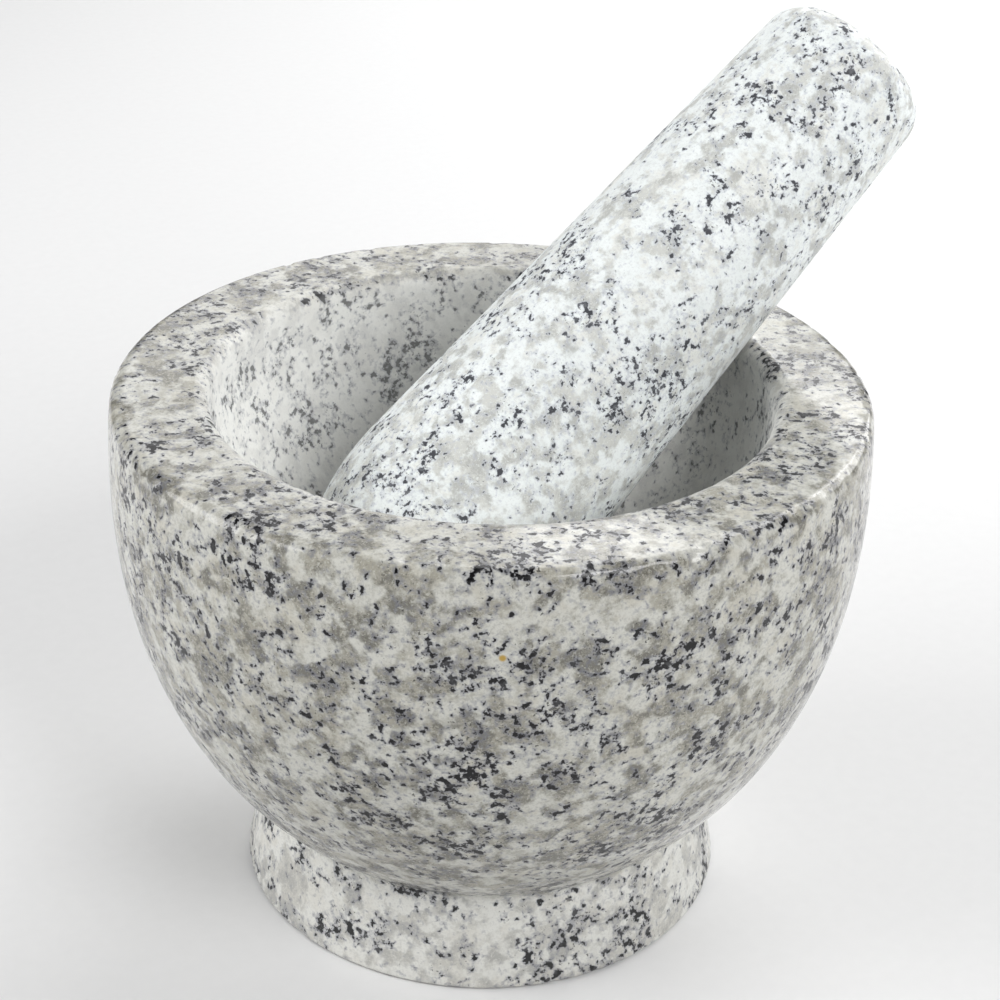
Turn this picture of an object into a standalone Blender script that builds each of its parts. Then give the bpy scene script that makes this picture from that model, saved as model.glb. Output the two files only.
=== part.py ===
"""Footed mortar with its loose pestle, both turned from one kind of speckled granite.

Units are metres, +Z is up. The origin is the centre of the foot's underside. The pestle
leans towards +X in the XZ plane: its side lies on the mortar's rim and its grinding end
stands in the bowl.
"""
import math

import bmesh
import bpy
from mathutils import Matrix, Vector

COLLECTION_NAME = "granite_mortar_and_pestle"

# Mortar, outside
MORTAR_HEIGHT = 0.1103
BOWL_RADIUS = 0.075            # widest, a little below the rim
BOWL_WIDEST_HEIGHT = 0.0934
BOWL_OUTSIDE_DEPTH = 0.0898    # vertical half axis of the outside curve
BOWL_OUTSIDE_POWER = 2.15      # 2 is an ellipse, higher is squarer
NECK_HEIGHT = 0.0206
NECK_FILLET = 0.0022
FOOT_RADIUS = 0.0505
FOOT_EDGE_BEVEL = 0.0008
RIM_OUTER_ROUND = 0.0026

# Mortar, inside
MOUTH_RADIUS = 0.05495
RIM_INNER_ROUND = 0.0033
BOWL_INSIDE_DEPTH = 0.0571     # below the rim's inner rounding

# Pestle, measured along its own axis from the point beside the rim
PESTLE_LEAN = math.radians(48.8)
PESTLE_RADIUS_AT_RIM = 0.0211
PESTLE_TAPER = 0.0544          # radius lost per length towards the handle end
PESTLE_ABOVE_RIM = 0.0579
PESTLE_BELOW_RIM = 0.0643      # down to the widest place
GRINDING_END_LENGTH = 0.0319
GRINDING_END_POWER = 2.55
HANDLE_END_ROUND = 0.0072
HANDLE_END_CROWN = 0.0015

REST_GAP = 0.0003

MORTAR_STEPS = 72
PESTLE_STEPS = 48


def arc(centre, radius, start, end, count):
    """Points on a circle arc in the (radius, height) plane, angles in degrees."""
    points = []
    for index in range(count + 1):
        angle = math.radians(start + (end - start) * index / count)
        points.append((centre[0] + radius * math.cos(angle), centre[1] + radius * math.sin(angle)))
    return points


def bowl_outside_radius(height):
    """Radius of the bowl's outside at a height, a superellipse about its widest place."""
    offset = abs(height - BOWL_WIDEST_HEIGHT) / BOWL_OUTSIDE_DEPTH
    return BOWL_RADIUS * (1 - offset ** BOWL_OUTSIDE_POWER) ** (1 / BOWL_OUTSIDE_POWER)


def neck_fillet(count):
    """Arc that blends the bowl into the foot's flare, from the bowl down."""
    step = 0.0001
    neck_radius = bowl_outside_radius(NECK_HEIGHT)
    bowl_way = Vector((bowl_outside_radius(NECK_HEIGHT + step) - neck_radius, step)).normalized()
    foot_way = Vector((FOOT_RADIUS - neck_radius, -NECK_HEIGHT)).normalized()
    half_angle = bowl_way.angle(foot_way) / 2
    outward = (bowl_way + foot_way).normalized()
    corner = Vector((neck_radius, NECK_HEIGHT))
    centre = corner + outward * (NECK_FILLET / math.sin(half_angle))
    start_point = corner + bowl_way * (NECK_FILLET / math.tan(half_angle))
    end_point = corner + foot_way * (NECK_FILLET / math.tan(half_angle))
    start = math.degrees(math.atan2(start_point.y - centre.y, start_point.x - centre.x)) % 360
    end = math.degrees(math.atan2(end_point.y - centre.y, end_point.x - centre.x)) % 360
    return arc(centre, NECK_FILLET, start, end, count)


def mortar_profile():
    """Closed outline from the middle of the bowl's inside, over the rim, to the foot's middle."""
    round_height = MORTAR_HEIGHT - RIM_INNER_ROUND
    points = []
    inside_count = 12
    for index in range(inside_count):
        angle = math.pi / 2 * index / inside_count
        points.append((MOUTH_RADIUS * math.sin(angle),
                       round_height - BOWL_INSIDE_DEPTH * math.cos(angle)))
    points += arc((MOUTH_RADIUS + RIM_INNER_ROUND, round_height), RIM_INNER_ROUND, 180, 90, 4)
    edge_height = MORTAR_HEIGHT - RIM_OUTER_ROUND
    edge_radius = bowl_outside_radius(edge_height) - RIM_OUTER_ROUND
    points += arc((edge_radius, edge_height), RIM_OUTER_ROUND, 90, 0, 4)
    fillet = neck_fillet(4)
    fillet_top = fillet[0][1]
    outside_count = 14
    for index in range(1, outside_count):
        share = math.sin(math.pi / 2 * index / outside_count)
        height = edge_height + (fillet_top - edge_height) * share
        points.append((bowl_outside_radius(height), height))
    points += fillet
    points += arc((FOOT_RADIUS - FOOT_EDGE_BEVEL, FOOT_EDGE_BEVEL), FOOT_EDGE_BEVEL, 0, -90, 2)
    points.append((0.0, 0.0))
    return points


def pestle_profile():
    """Outline from the handle end's middle down to the grinding end's tip, height along the axis."""
    round_height = PESTLE_ABOVE_RIM - HANDLE_END_ROUND
    handle_radius = PESTLE_RADIUS_AT_RIM - PESTLE_TAPER * round_height
    widest_radius = PESTLE_RADIUS_AT_RIM + PESTLE_TAPER * PESTLE_BELOW_RIM
    flat_radius = handle_radius - HANDLE_END_ROUND
    points = []
    crown_count = 4
    for index in range(crown_count):
        share = index / crown_count
        points.append((flat_radius * share, PESTLE_ABOVE_RIM + HANDLE_END_CROWN * (1 - share ** 2)))
    points += arc((flat_radius, round_height), HANDLE_END_ROUND, 90, 0, 5)
    shaft_count = 5
    for index in range(1, shaft_count):
        height = round_height - (round_height + PESTLE_BELOW_RIM) * index / shaft_count
        points.append((PESTLE_RADIUS_AT_RIM - PESTLE_TAPER * height, height))
    end_count = 9
    for index in range(end_count):
        share = math.sin(math.pi / 2 * index / end_count)
        radius = widest_radius * (1 - share ** GRINDING_END_POWER) ** (1 / GRINDING_END_POWER)
        points.append((radius, -PESTLE_BELOW_RIM - GRINDING_END_LENGTH * share))
    points.append((0.0, -PESTLE_BELOW_RIM - GRINDING_END_LENGTH))
    return points


def turned(name, profile, steps, material, collection):
    """A solid of revolution about the object's own Z axis, from a profile and a Screw modifier."""
    mesh = bpy.data.meshes.new(name)
    body = bmesh.new()
    vertices = [body.verts.new((radius, 0.0, height)) for radius, height in profile]
    for first, second in zip(vertices, vertices[1:]):
        body.edges.new((first, second))
    body.to_mesh(mesh)
    body.free()
    mesh.materials.append(material)
    piece = bpy.data.objects.new(name, mesh)
    collection.objects.link(piece)
    screw = piece.modifiers.new("Turned", "SCREW")
    screw.axis = "Z"
    screw.angle = math.tau
    screw.steps = steps
    screw.render_steps = steps
    screw.use_merge_vertices = True
    screw.merge_threshold = 0.000001
    screw.use_smooth_shade = True
    return piece


def stone(name, colour, roughness):
    """A polished or honed stone material."""
    material = bpy.data.materials.new(name)
    material.use_nodes = True
    shader = material.node_tree.nodes["Principled BSDF"]
    shader.inputs["Base Color"].default_value = (*colour, 1.0)
    shader.inputs["Roughness"].default_value = roughness
    shader.inputs["Metallic"].default_value = 0.0
    return material


def lean_pestle(pestle):
    """Lay the pestle on the rim's inner rounding, a rest gap away from it."""
    axis = Vector((math.sin(PESTLE_LEAN), 0.0, math.cos(PESTLE_LEAN)))
    away_from_rim = Vector((-math.cos(PESTLE_LEAN), 0.0, math.sin(PESTLE_LEAN)))
    rim_centre = Vector((MOUTH_RADIUS + RIM_INNER_ROUND, 0.0, MORTAR_HEIGHT - RIM_INNER_ROUND))
    distance = PESTLE_RADIUS_AT_RIM + RIM_INNER_ROUND + REST_GAP
    turn = Vector((0.0, 0.0, 1.0)).rotation_difference(axis).to_matrix().to_4x4()
    pestle.matrix_world = Matrix.Translation(rim_centre + away_from_rim * distance) @ turn


def build():
    for existing in list(bpy.data.objects):
        bpy.data.objects.remove(existing, do_unlink=True)
    collection = bpy.data.collections.new(COLLECTION_NAME)
    bpy.context.scene.collection.children.link(collection)
    mortar_stone = stone("mortar_granite", (0.55, 0.54, 0.51), 0.28)
    pestle_stone = stone("pestle_granite", (0.62, 0.63, 0.64), 0.32)
    turned("mortar", mortar_profile(), MORTAR_STEPS, mortar_stone, collection)
    pestle = turned("pestle", pestle_profile(), PESTLE_STEPS, pestle_stone, collection)
    lean_pestle(pestle)


build()
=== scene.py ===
"""Looks of a footed granite mortar and its loose pestle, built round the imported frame.

Metres, +Z up, origin at the centre of the foot's underside. Both stones are turned shapes with
the unevenness of hand polishing, and one family of solid granite shaders runs through them.
"""

import math

import bpy
from mathutils import Matrix, Vector, noise


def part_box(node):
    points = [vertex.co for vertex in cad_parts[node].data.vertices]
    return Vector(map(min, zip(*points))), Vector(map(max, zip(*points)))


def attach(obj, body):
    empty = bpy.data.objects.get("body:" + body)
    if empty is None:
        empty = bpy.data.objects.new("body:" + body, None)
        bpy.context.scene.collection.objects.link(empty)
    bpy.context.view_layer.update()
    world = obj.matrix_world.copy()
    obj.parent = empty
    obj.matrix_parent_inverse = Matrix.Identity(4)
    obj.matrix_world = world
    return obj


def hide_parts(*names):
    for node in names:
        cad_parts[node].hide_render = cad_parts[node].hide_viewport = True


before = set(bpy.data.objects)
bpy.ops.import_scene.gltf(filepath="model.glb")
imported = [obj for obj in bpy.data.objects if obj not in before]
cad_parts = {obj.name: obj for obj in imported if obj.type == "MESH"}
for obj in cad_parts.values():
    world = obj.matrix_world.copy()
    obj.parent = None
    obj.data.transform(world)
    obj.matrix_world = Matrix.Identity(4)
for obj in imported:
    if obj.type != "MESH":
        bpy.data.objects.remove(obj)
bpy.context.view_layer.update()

# ---------------------------------------------------------------- dimensions
MORTAR_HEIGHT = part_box("mortar")[1].z
BOWL_RADIUS = 0.07494
BOWL_WIDEST_HEIGHT = 0.0934
BOWL_OUTSIDE_DEPTH = 0.0898
BOWL_OUTSIDE_POWER = 2.15
NECK_HEIGHT = 0.0206
NECK_FILLET = 0.0022
FOOT_RADIUS = 0.0505
FOOT_EDGE_BEVEL = 0.0008
RIM_OUTER_ROUND = 0.0026
MOUTH_RADIUS = 0.05495
RIM_INNER_ROUND = 0.0033
BOWL_INSIDE_DEPTH = 0.0571

PESTLE_LEAN = math.radians(48.8)
PESTLE_RADIUS_AT_RIM = 0.0211
PESTLE_TAPER = 0.0544
PESTLE_ABOVE_RIM = 0.0579
PESTLE_BELOW_RIM = 0.0643
GRINDING_END_LENGTH = 0.0319
GRINDING_END_POWER = 2.55
HANDLE_END_ROUND = 0.0072
HANDLE_END_CROWN = 0.0015
REST_GAP = 0.0003

MM = 0.001

# how far the finished surface lies below the true shape, in millimetres; chips start above a
# noise level, and the waves are the noise's scale per metre
SINK_ALL_OVER = 0.10
SINK_BROAD = 0.07
SINK_LOCAL = 0.03
CHIP_DEPTH = 0.9
CHIP_START = 0.22
BROAD_WAVES = 38.0
LOCAL_WAVES = 110.0
CHIP_WAVES = 390.0

# honed is 1 on a matt honed surface and 0 on a polished one; worn is how chipped an edge is
FOOT_HONED = 0.5
PESTLE_HONED = 0.3
MOUTH_WORN = 0.4
FOOT_EDGE_WORN = 0.8
ROUND_COUNT = 10
FILLET_COUNT = 8


# ---------------------------------------------------------------- profiles
def arc(centre, radius, start, end, count):
    """Points on a circle arc in the (radius, height) plane, angles in degrees, ends included."""
    points = []
    for index in range(count + 1):
        angle = math.radians(start + (end - start) * index / count)
        points.append((centre[0] + radius * math.cos(angle), centre[1] + radius * math.sin(angle)))
    return points


def line(start, end, count):
    """Points between two places, both left out."""
    return [(start[0] + (end[0] - start[0]) * index / count,
             start[1] + (end[1] - start[1]) * index / count) for index in range(1, count)]


def bowl_outside_radius(height):
    offset = abs(height - BOWL_WIDEST_HEIGHT) / BOWL_OUTSIDE_DEPTH
    return BOWL_RADIUS * (1 - offset ** BOWL_OUTSIDE_POWER) ** (1 / BOWL_OUTSIDE_POWER)


def neck_fillet(count):
    """Arc that blends the bowl into the foot's flare, from the bowl down."""
    step = 0.0001
    neck_radius = bowl_outside_radius(NECK_HEIGHT)
    bowl_way = Vector((bowl_outside_radius(NECK_HEIGHT + step) - neck_radius, step)).normalized()
    foot_way = Vector((FOOT_RADIUS - neck_radius, -NECK_HEIGHT)).normalized()
    half_angle = bowl_way.angle(foot_way) / 2
    outward = (bowl_way + foot_way).normalized()
    corner = Vector((neck_radius, NECK_HEIGHT))
    centre = corner + outward * (NECK_FILLET / math.sin(half_angle))
    start_point = corner + bowl_way * (NECK_FILLET / math.tan(half_angle))
    end_point = corner + foot_way * (NECK_FILLET / math.tan(half_angle))
    start = math.degrees(math.atan2(start_point.y - centre.y, start_point.x - centre.x)) % 360
    end = math.degrees(math.atan2(end_point.y - centre.y, end_point.x - centre.x)) % 360
    return arc(centre, NECK_FILLET, start, end, count)


def mortar_profile():
    """(radius, height, honed, worn) from the bowl's inside bottom over the rim to the foot's middle."""
    round_height = MORTAR_HEIGHT - RIM_INNER_ROUND
    inside = []
    inside_count = 56
    for index in range(inside_count):
        angle = math.pi / 2 * index / inside_count
        inside.append((MOUTH_RADIUS * math.sin(angle),
                       round_height - BOWL_INSIDE_DEPTH * math.cos(angle)))
    inner_round = arc((MOUTH_RADIUS + RIM_INNER_ROUND, round_height), RIM_INNER_ROUND, 180, 90,
                      ROUND_COUNT)
    edge_height = MORTAR_HEIGHT - RIM_OUTER_ROUND
    edge_radius = bowl_outside_radius(edge_height) - RIM_OUTER_ROUND
    outer_round = arc((edge_radius, edge_height), RIM_OUTER_ROUND, 90, 0, ROUND_COUNT)
    top = line(inner_round[-1], outer_round[0], 14)
    fillet = neck_fillet(FILLET_COUNT)
    outside = []
    outside_count = 64
    for index in range(1, outside_count):
        share = math.sin(math.pi / 2 * index / outside_count)
        height = edge_height + (fillet[0][1] - edge_height) * share
        outside.append((bowl_outside_radius(height), height))
    foot_edge = arc((FOOT_RADIUS - FOOT_EDGE_BEVEL, FOOT_EDGE_BEVEL), FOOT_EDGE_BEVEL, 0, -90, 5)
    flare = line(fillet[-1], foot_edge[0], 16)
    underside = line(foot_edge[-1], (0.0, 0.0), 16)
    stations = [(r, z, 1.0, 0.0) for r, z in inside]
    stations += [(r, z, 1.0 - index / ROUND_COUNT, MOUTH_WORN)
                 for index, (r, z) in enumerate(inner_round)]
    stations += [(r, z, 0.0, 0.0) for r, z in top]
    stations += [(r, z, 0.0, 1.0) for r, z in outer_round]
    stations += [(r, z, 0.0, 0.0) for r, z in outside]
    stations += [(r, z, FOOT_HONED * index / FILLET_COUNT, 0.0)
                 for index, (r, z) in enumerate(fillet)]
    stations += [(r, z, FOOT_HONED, 0.0) for r, z in flare]
    stations += [(r, z, FOOT_HONED, FOOT_EDGE_WORN) for r, z in foot_edge]
    stations += [(r, z, 1.0, 0.0) for r, z in underside]
    return stations + [(0.0, 0.0, 1.0, 0.0)]


def pestle_profile():
    """(radius, height, honed, worn) along the pestle's own axis, from the handle end down."""
    round_height = PESTLE_ABOVE_RIM - HANDLE_END_ROUND
    handle_radius = PESTLE_RADIUS_AT_RIM - PESTLE_TAPER * round_height
    widest_radius = PESTLE_RADIUS_AT_RIM + PESTLE_TAPER * PESTLE_BELOW_RIM
    flat_radius = handle_radius - HANDLE_END_ROUND
    points = []
    crown_count = 12
    for index in range(crown_count):
        share = index / crown_count
        points.append((flat_radius * share, PESTLE_ABOVE_RIM + HANDLE_END_CROWN * (1 - share ** 2)))
    points += arc((flat_radius, round_height), HANDLE_END_ROUND, 90, 0, 16)
    points += line(points[-1], (widest_radius, -PESTLE_BELOW_RIM), 70)
    end_count = 40
    for index in range(end_count):
        share = math.sin(math.pi / 2 * index / end_count)
        radius = widest_radius * (1 - share ** GRINDING_END_POWER) ** (1 / GRINDING_END_POWER)
        points.append((radius, -PESTLE_BELOW_RIM - GRINDING_END_LENGTH * share))
    points.append((0.0, -PESTLE_BELOW_RIM - GRINDING_END_LENGTH))
    return [(r, z, PESTLE_HONED, 0.0) for r, z in points]


# ---------------------------------------------------------------- stone shapes
def unevenness(place, seed, worn):
    """How far hand polishing and chipped edges left the surface below its true shape, in metres."""
    broad = noise.noise(place * BROAD_WAVES + Vector((seed, 0.0, 0.0)))
    local = noise.noise(place * LOCAL_WAVES + Vector((0.0, seed, 0.0)))
    chip = max(0.0, noise.noise(place * CHIP_WAVES + Vector((seed, seed, 0.0))) - CHIP_START)
    return -MM * (SINK_ALL_OVER + SINK_BROAD * broad + SINK_LOCAL * local + CHIP_DEPTH * chip * worn)


def turned_stone(name, profile, steps, seed, matrix=Matrix.Identity(4)):
    """A closed turned mesh from pole to pole; each point sinks a little along its normal."""
    rings = profile[1:-1]
    vertices = []
    honed = []
    for index, (radius, height, finish, worn) in enumerate(rings):
        before = profile[index]
        after = profile[index + 2]
        along = Vector((after[0] - before[0], after[1] - before[1])).normalized()
        normal = Vector((-along.y, along.x))
        for step in range(steps):
            angle = math.tau * step / steps
            place = Vector((radius * math.cos(angle), radius * math.sin(angle), height))
            outward = Vector((normal.x * math.cos(angle), normal.x * math.sin(angle), normal.y))
            vertices.append(matrix @ (place + outward * unevenness(place, seed, worn)))
            honed.append(finish)
    first = len(vertices)
    for radius, height, finish, worn in (profile[0], profile[-1]):
        vertices.append(matrix @ Vector((radius, 0.0, height)))
        honed.append(finish)
    faces = []
    for ring in range(len(rings) - 1):
        for step in range(steps):
            following = (step + 1) % steps
            faces.append((ring * steps + step, (ring + 1) * steps + step,
                          (ring + 1) * steps + following, ring * steps + following))
    last = (len(rings) - 1) * steps
    for step in range(steps):
        following = (step + 1) % steps
        faces.append((first, step, following))
        faces.append((first + 1, last + following, last + step))
    mesh = bpy.data.meshes.new(name)
    mesh.from_pydata(vertices, [], faces)
    mesh.shade_smooth()
    attribute = mesh.attributes.new("honed", "FLOAT", "POINT")
    attribute.data.foreach_set("value", honed)
    stone = bpy.data.objects.new(name, mesh)
    bpy.context.scene.collection.objects.link(stone)
    return stone


def pestle_matrix():
    """Where the pestle lies: on the rim's inner rounding, its axis in the XZ plane."""
    axis = Vector((math.sin(PESTLE_LEAN), 0.0, math.cos(PESTLE_LEAN)))
    away_from_rim = Vector((-math.cos(PESTLE_LEAN), 0.0, math.sin(PESTLE_LEAN)))
    rim_centre = Vector((MOUTH_RADIUS + RIM_INNER_ROUND, 0.0, MORTAR_HEIGHT - RIM_INNER_ROUND))
    distance = PESTLE_RADIUS_AT_RIM + RIM_INNER_ROUND + REST_GAP
    turn = Vector((0.0, 0.0, 1.0)).rotation_difference(axis).to_matrix().to_4x4()
    return Matrix.Translation(rim_centre + away_from_rim * distance) @ turn


# ---------------------------------------------------------------- shader building
class Graph:
    """Small helper that adds and joins shader nodes of one material."""

    def __init__(self, name):
        self.material = bpy.data.materials.new(name)
        self.material.use_nodes = True
        self.tree = self.material.node_tree
        self.shader = self.tree.nodes["Principled BSDF"]

    def put(self, socket, value):
        if isinstance(value, bpy.types.NodeSocket):
            self.tree.links.new(value, socket)
        else:
            socket.default_value = value

    def node(self, kind, inputs=(), **settings):
        made = self.tree.nodes.new(kind)
        for key, value in settings.items():
            setattr(made, key, value)
        for key, value in dict(inputs).items():
            self.put(made.inputs[key], value)
        return made

    def math(self, operation, first, second=0.0, third=0.0):
        made = self.node("ShaderNodeMath", {0: first, 1: second, 2: third}, operation=operation)
        return made.outputs[0]

    def vector(self, operation, first, second):
        made = self.node("ShaderNodeVectorMath", {0: first}, operation=operation)
        self.put(made.inputs["Scale" if operation == "SCALE" else 1], second)
        return made.outputs["Value" if operation == "DISTANCE" else "Vector"]

    def ramp(self, value, start, end, low=0.0, high=1.0):
        """Smooth step of a value from start to end; start may be above end."""
        flip = start > end
        made = self.node("ShaderNodeMapRange", {
            "Value": value, "From Min": min(start, end), "From Max": max(start, end),
            "To Min": high if flip else low, "To Max": low if flip else high},
            interpolation_type="SMOOTHSTEP")
        return made.outputs["Result"]

    def over(self, value, limit, soft):
        """Smooth step from 0 to 1 as a value passes a limit that may vary too."""
        return self.ramp(self.math("SUBTRACT", value, limit), -soft, soft)

    def mix(self, factor, first, second):
        made = self.node("ShaderNodeMix", data_type="RGBA")
        self.put(made.inputs[0], factor)
        self.put(made.inputs[6], first)
        self.put(made.inputs[7], second)
        return made.outputs[2]

    def noise(self, place, size, detail=2.0, rough=0.5, distortion=0.0):
        """Noise whose blobs are about size millimetres across, from 0 to 1."""
        made = self.node("ShaderNodeTexNoise", {"Vector": place, "Scale": 1.0 / size, "Detail": detail,
                                                "Roughness": rough, "Distortion": distortion})
        return made.outputs[0], made.outputs[1]

    def warped(self, place, size, amount, detail=2.0):
        """The place shifted by noise, so that grains get ragged outlines."""
        shift = self.noise(place, size, detail)[1]
        centred = self.vector("SUBTRACT", shift, (0.5, 0.5, 0.5))
        return self.vector("ADD", place, self.vector("SCALE", centred, amount))


def colour(red, green, blue):
    return (red, green, blue, 1.0)


def shifted(graph, place, shift):
    """The place moved by a fixed step, so that one noise differs from the next."""
    return graph.vector("ADD", place, shift)


def feldspar_layer(graph, place, tones):
    """White and cream clouds with faint warm patches."""
    cloud = graph.noise(place, 3.0, 5.0, 0.70)[0]
    feldspar = graph.mix(graph.ramp(cloud, 0.33, 0.52), tones["cream"], tones["white"])
    warm = graph.noise(shifted(graph, place, (31.0, 7.0, 53.0)), 8.0, 3.0, 0.6)[0]
    return graph.mix(graph.ramp(warm, 0.52, 0.64, 0.0, 0.75), feldspar, tones["warm"])


def quartz_layer(graph, place, tones, quartz, feldspar):
    """Soft grey patches in loose groups, grainy inside, then light and dark powder over all."""
    group = graph.noise(shifted(graph, place, (3.0, 41.0, 9.0)), 11.0, 2.0)[0]
    patch = graph.noise(shifted(graph, place, (13.0, 1.0, 37.0)), 3.9, 5.0, 0.52, 0.15)[0]
    drift = graph.math("MULTIPLY_ADD", graph.math("SUBTRACT", group, 0.5), 0.55, patch)
    quartz_mask = graph.over(drift, 0.5 + quartz - 0.01, 0.085)
    grainy = graph.noise(place, 0.75, 4.0, 0.75)[0]
    tone = graph.noise(shifted(graph, place, (23.0, 67.0, 2.0)), 4.5, 1.0)[0]
    quartz_mix = graph.math("MULTIPLY_ADD", graph.math("SUBTRACT", grainy, 0.5), 1.0, tone)
    light_share = graph.ramp(quartz_mix, 0.36, 0.62)
    quartz_tone = graph.mix(light_share, tones["quartz_dark"], tones["quartz_light"])
    body = graph.mix(graph.math("MULTIPLY", quartz_mask, 0.9), feldspar, quartz_tone)
    powder = graph.noise(place, 0.65, 3.0, 0.8)[0]
    body = graph.mix(graph.ramp(powder, 0.49, 0.66, 0.0, 0.42), body, tones["powder"])
    body = graph.mix(graph.ramp(powder, 0.47, 0.34, 0.0, 0.55), body, tones["white"])
    return body, drift, grainy


def mica_limit(graph, place, quartz, mica, drift, veil):
    """The noise level above which mica shows: lower in clusters and along the quartz's edges."""
    cluster = graph.noise(shifted(graph, place, (5.0, 91.0, 17.0)), 6.5, 3.0, 0.6)[0]
    edge_distance = graph.math("ABSOLUTE", graph.math("SUBTRACT", drift, 0.5 + quartz))
    shore = graph.ramp(edge_distance, 0.09, 0.0)
    clustered = graph.ramp(cluster, 0.40, 0.62, 0.0, 0.13)
    gathering = graph.math("MULTIPLY_ADD", shore, 0.03, clustered)
    barren = graph.noise(shifted(graph, place, (61.0, 19.0, 83.0)), 17.0, 1.0)[0]
    gathering = graph.math("ADD", gathering, graph.ramp(barren, 0.40, 0.56, -0.06, 0.01))
    limit = graph.math("SUBTRACT", 0.5 + mica, gathering)
    return graph.math("MULTIPLY_ADD", veil, 0.13, limit)


def mica_layer(graph, place, tones, limit, body):
    """Ragged black blots and fine specks, with soft halos."""
    blot = graph.noise(graph.warped(place, 0.6, 0.5, 2.0), 1.5, 2.0, 0.55)[0]
    fleck = graph.over(blot, limit, 0.03)
    halo = graph.over(blot, graph.math("SUBTRACT", limit, 0.085), 0.105)
    dot = graph.noise(shifted(graph, place, (77.0, 3.0, 29.0)), 0.75, 2.0, 0.6)[0]
    speck = graph.over(dot, graph.math("ADD", limit, 0.05), 0.03)
    depth = graph.ramp(graph.noise(place, 2.2, 1.0)[0], 0.36, 0.50, 0.86, 1.0)
    fleck = graph.math("MULTIPLY", fleck, depth)
    speck = graph.math("MULTIPLY", speck, 0.75)
    body = graph.mix(graph.math("MULTIPLY", halo, 0.62), body, tones["halo"])
    body = graph.mix(speck, body, tones["mica"])
    return graph.mix(fleck, body, tones["mica"]), fleck


def rust_layer(graph, coordinates, tones, rust_spot, body):
    """One tiny rust-coloured mineral spot."""
    away = graph.vector("DISTANCE", coordinates, rust_spot)
    rust = graph.ramp(away, 0.9 * MM, 0.4 * MM, 0.0, 0.9)
    return graph.mix(rust, body, tones["rust"])


def surface_finish(graph, place, honed, grainy, fleck, roughness):
    """Roughness and bump: honed stone is matt with more fine bump, mica lies a little deeper."""
    gloss = graph.math("MULTIPLY_ADD", graph.math("POWER", honed, 0.35), 0.38, roughness)
    gloss = graph.math("MULTIPLY_ADD", grainy, 0.10, gloss)
    gloss = graph.math("MULTIPLY_ADD", fleck, 0.12, gloss)
    graph.put(graph.shader.inputs["Roughness"], gloss)
    pits = graph.math("MULTIPLY", fleck, -0.5)
    fine_share = graph.math("MULTIPLY_ADD", honed, 1.3, 0.12)
    fine = graph.math("MULTIPLY", graph.noise(place, 0.5, 3.0)[0], fine_share)
    height = graph.math("ADD", pits, fine)
    bump = graph.node("ShaderNodeBump", {"Height": height, "Strength": 0.35, "Distance": 0.06 * MM})
    graph.put(graph.shader.inputs["Normal"], bump.outputs[0])
    graph.shader.inputs["Specular IOR Level"].default_value = 0.34


def granite(name, tones, offset, turn, fineness, quartz, mica, roughness, rust_spot=None):
    """Solid granite; quartz and mica are noise levels, so a higher one gives less of it."""
    graph = Graph(name)
    coordinates = graph.node("ShaderNodeTexCoord").outputs["Object"]
    scale = fineness / MM
    place = graph.node("ShaderNodeMapping", {
        "Vector": coordinates, "Location": offset, "Rotation": turn,
        "Scale": (scale, scale, scale)}).outputs[0]
    honed = graph.node("ShaderNodeAttribute", attribute_name="honed").outputs["Fac"]
    feldspar = feldspar_layer(graph, place, tones)
    body, drift, grainy = quartz_layer(graph, place, tones, quartz, feldspar)
    # a honed surface scatters more light: paler stone here, then fewer flecks and a veil over them
    body = graph.mix(graph.math("MULTIPLY", honed, 0.60), body, tones["dust"])
    veil = graph.math("MULTIPLY", graph.math("POWER", honed, 3.0), 0.20)
    limit = mica_limit(graph, place, quartz, mica, drift, veil)
    body, fleck = mica_layer(graph, place, tones, limit, body)
    body = graph.mix(veil, body, tones["dust"])
    if rust_spot:
        body = rust_layer(graph, coordinates, tones, rust_spot, body)
    graph.put(graph.shader.inputs["Base Color"], body)
    surface_finish(graph, place, honed, grainy, fleck, roughness)
    return graph.material


MORTAR_TONES = {
    "white": colour(0.605, 0.603, 0.556), "cream": colour(0.425, 0.416, 0.368),
    "warm": colour(0.525, 0.504, 0.434),
    "quartz_light": colour(0.350, 0.335, 0.280), "quartz_dark": colour(0.122, 0.116, 0.095),
    "mica": colour(0.005, 0.005, 0.006), "halo": colour(0.165, 0.174, 0.226),
    "powder": colour(0.28, 0.276, 0.263), "dust": colour(0.93, 0.93, 0.91),
    "rust": colour(0.44, 0.27, 0.02),
}
PESTLE_TONES = {
    "white": colour(0.93, 0.975, 0.965), "cream": colour(0.83, 0.875, 0.865),
    "warm": colour(0.81, 0.81, 0.75),
    "quartz_light": colour(0.60, 0.60, 0.55), "quartz_dark": colour(0.355, 0.353, 0.32),
    "mica": colour(0.055, 0.058, 0.068), "halo": colour(0.50, 0.53, 0.60),
    "powder": colour(0.56, 0.57, 0.58), "dust": colour(0.91, 0.94, 0.94),
}


# ---------------------------------------------------------------- the two stones
RUST_SPOT = (-0.0373, -0.0650, 0.0941)
MORTAR_STEPS = 480
PESTLE_STEPS = 240
MORTAR_SEED = 3.7
PESTLE_SEED = 8.1


def mortar_stone():
    mortar = turned_stone("mortar_stone", mortar_profile(), MORTAR_STEPS, MORTAR_SEED)
    look = granite("mortar_granite_look", MORTAR_TONES, offset=(11.0, 4.0, 23.0),
                   turn=(0.3, 0.2, 0.5), fineness=1.0, quartz=0.03, mica=0.187, roughness=0.09,
                   rust_spot=RUST_SPOT)
    mortar.data.materials.append(look)
    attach(mortar, "mortar")
    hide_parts("mortar")


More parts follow.
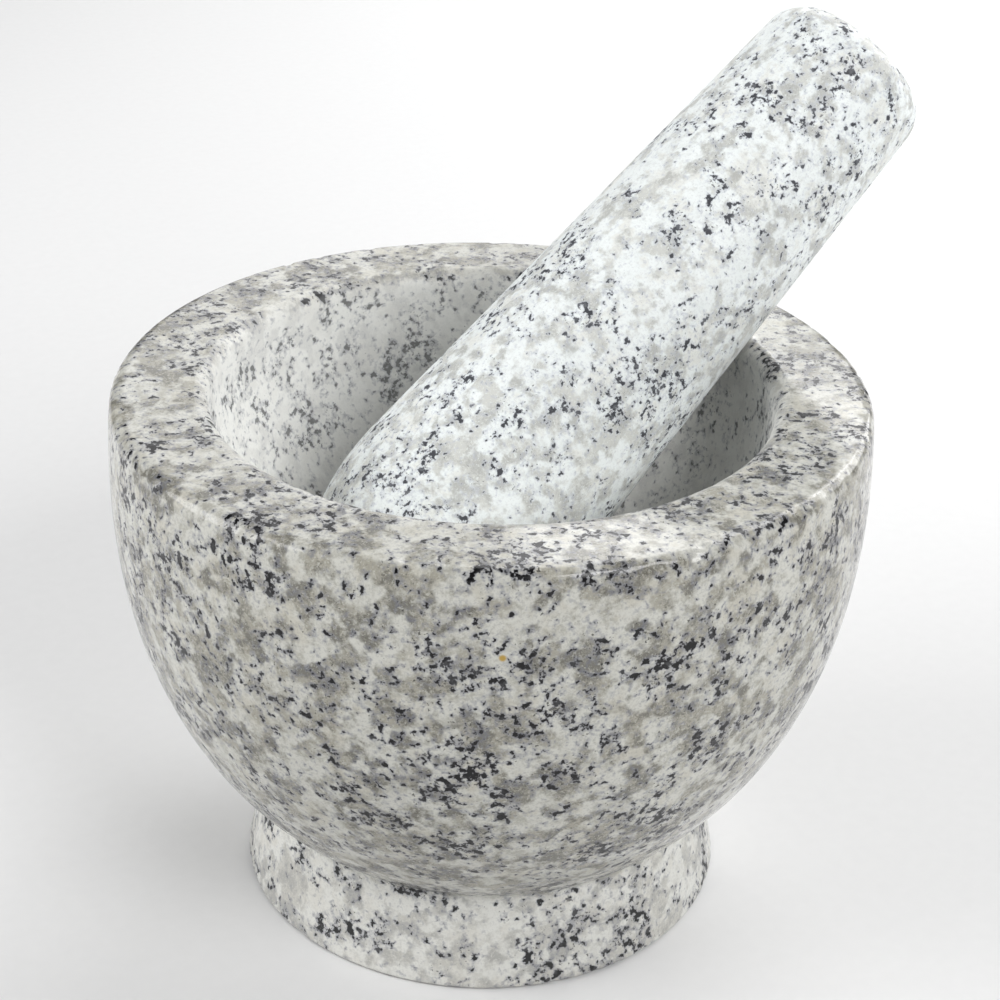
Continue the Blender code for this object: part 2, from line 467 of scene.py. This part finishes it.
def pestle_stone():
    pestle = turned_stone("pestle_stone", pestle_profile(), PESTLE_STEPS, PESTLE_SEED, pestle_matrix())
    look = granite("pestle_granite_look", PESTLE_TONES, offset=(71.0, 15.0, 5.0),
                   turn=(0.9, 0.4, 1.1), fineness=1.2, quartz=0.045, mica=0.208, roughness=0.17)
    pestle.data.materials.append(look)
    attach(pestle, "pestle")
    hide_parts("pestle")


# ---------------------------------------------------------------- floor, light and camera
FLOOR_RADIUS = 6.0
FLOOR_SIDES = 64
FLOOR_GAP = 0.0002


def floor():
    """A round pale floor, large enough to fill every view."""
    mesh = bpy.data.meshes.new("floor")
    ring = []
    for index in range(FLOOR_SIDES):
        angle = math.tau * index / FLOOR_SIDES
        ring.append((FLOOR_RADIUS * math.cos(angle), FLOOR_RADIUS * math.sin(angle), 0.0))
    mesh.from_pydata(ring, [], [tuple(range(FLOOR_SIDES))])
    graph = Graph("floor_paper")
    place = graph.node("ShaderNodeTexCoord").outputs["Object"]
    fibre = graph.node("ShaderNodeTexNoise",
                       {"Vector": place, "Scale": 300.0, "Detail": 2.0}).outputs[0]
    tone = graph.mix(fibre, colour(0.75, 0.75, 0.75), colour(0.78, 0.78, 0.78))
    graph.put(graph.shader.inputs["Base Color"], tone)
    graph.shader.inputs["Roughness"].default_value = 0.9
    graph.shader.inputs["Specular IOR Level"].default_value = 0.1
    mesh.materials.append(graph.material)
    made = bpy.data.objects.new("floor", mesh)
    bpy.context.scene.collection.objects.link(made)
    made.location.z = -FLOOR_GAP


# the pestle leans to the camera's right, and by this angle away from it
CAMERA_LEAN_ANGLE = math.radians(32.4)
CAMERA_PITCH = math.radians(28.59)
CAMERA_ROLL = math.radians(1.69)
CAMERA_DISTANCE = 0.4377
CAMERA_AIM = Vector((0.0021, 0.0, 0.0838))   # sideways and up, before the turn
CAMERA_LENS = 78.3
LIGHT_DISTANCE = 1.1
LIGHT_AIM_HEIGHT = 0.07


def camera_turn():
    return Matrix.Rotation(-CAMERA_LEAN_ANGLE, 4, "Z")


def camera():
    forward = Vector((0.0, math.cos(CAMERA_PITCH), -math.sin(CAMERA_PITCH)))
    right = Vector((1.0, 0.0, 0.0))
    up = Vector((0.0, math.sin(CAMERA_PITCH), math.cos(CAMERA_PITCH)))
    rolled_right = right * math.cos(CAMERA_ROLL) + up * math.sin(CAMERA_ROLL)
    rolled_up = up * math.cos(CAMERA_ROLL) - right * math.sin(CAMERA_ROLL)
    basis = Matrix((rolled_right, rolled_up, -forward)).transposed().to_4x4()
    data = bpy.data.cameras.new("camera")
    data.lens = CAMERA_LENS
    data.sensor_width = 36.0
    data.clip_start = 0.01
    made = bpy.data.objects.new("camera", data)
    eye = Matrix.Translation(CAMERA_AIM - forward * CAMERA_DISTANCE)
    made.matrix_world = camera_turn() @ eye @ basis
    bpy.context.scene.collection.objects.link(made)
    bpy.context.scene.camera = made


def soft_light(name, azimuth, elevation, power, size):
    """A square area light aimed at the bowl; azimuth 0 is the camera's side, 90 its right."""
    data = bpy.data.lights.new(name, "AREA")
    data.shape = "SQUARE"
    data.size = size
    data.energy = power
    made = bpy.data.objects.new(name, data)
    around = math.radians(azimuth)
    above = math.radians(elevation)
    way = Vector((math.sin(around) * math.cos(above), -math.cos(around) * math.cos(above),
                  math.sin(above)))
    start = camera_turn() @ (way * LIGHT_DISTANCE)
    aim = Vector((0.0, 0.0, LIGHT_AIM_HEIGHT)) - start
    facing = aim.to_track_quat("-Z", "Y").to_matrix().to_4x4()
    made.matrix_world = Matrix.Translation(start) @ facing
    bpy.context.scene.collection.objects.link(made)


def lights():
    soft_light("front_right_light", 40, 40, 7.3, 0.5)
    soft_light("back_right_light", 130, 30, 5.3, 0.6)
    soft_light("back_light", 160, 45, 4.3, 0.6)
    soft_light("low_back_light", 180, 22, 1.8, 0.6)
    soft_light("left_light", -80, 28, 9.7, 0.8)
    world = bpy.data.worlds.new("studio")
    world.use_nodes = True
    background = world.node_tree.nodes["Background"]
    background.inputs["Color"].default_value = (0.95, 0.97, 1.0, 1.0)
    background.inputs["Strength"].default_value = 0.06
    bpy.context.scene.world = world
    bpy.context.scene.view_settings.view_transform = "Standard"


mortar_stone()
pestle_stone()
floor()
camera()
lights()
